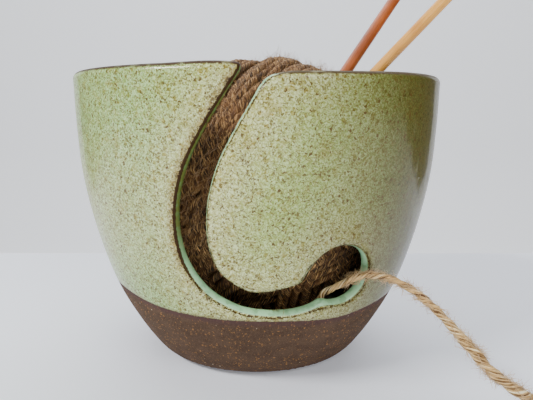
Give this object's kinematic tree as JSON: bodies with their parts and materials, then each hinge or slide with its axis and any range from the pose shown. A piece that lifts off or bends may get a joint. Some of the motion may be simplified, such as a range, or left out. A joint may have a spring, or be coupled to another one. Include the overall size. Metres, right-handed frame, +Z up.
{
  "type": "yarn bowl",
  "caption": "Footed stoneware bowl with a curled yarn slot, holding a ball of jute yarn, its working yarn and knitting needles.",
  "frame": {"origin": "on the bowl's axis, on the plane that its foot stands on", "axes": "+Z up along the bowl's axis, -Y out of the side with the slot, +X towards the slot's round end"},
  "size_m": [0.2256, 0.2155, 0.232],
  "materials": {
    "glazed_stoneware": "sage green speckled glaze over bare dark brown stoneware at the foot",
    "jute": "plied, hairy jute",
    "dark_bamboo": "satin, steamed",
    "pale_bamboo": "satin, natural"
  },
  "bodies": {
    "bowl": {"bowl": "glazed_stoneware", "working_yarn": "jute", "yarn_coil": "jute"},
    "ball": {"yarn_ball": "jute"},
    "needle_left": {"needle_left_shaft": "dark_bamboo", "needle_left_cap": "dark_bamboo"},
    "needle_right": {"needle_right_shaft": "pale_bamboo", "needle_right_cap": "pale_bamboo"}
  },
  "joints": [
    {"name": "ball_turn", "type": "hinge", "parent": "bowl", "child": "ball", "pos_m": [0, 0, 0.0658], "axis": [0, 0, 1], "continuous": true},
    {"name": "needle_left_draw", "type": "slide", "parent": "ball", "child": "needle_left", "axis": [0.5259, 0.4609, 0.7148], "range_m": [0, 0.075]},
    {"name": "needle_right_draw", "type": "slide", "parent": "ball", "child": "needle_right", "axis": [0.6889, 0, 0.7249], "range_m": [0, 0.083]}
  ]
}
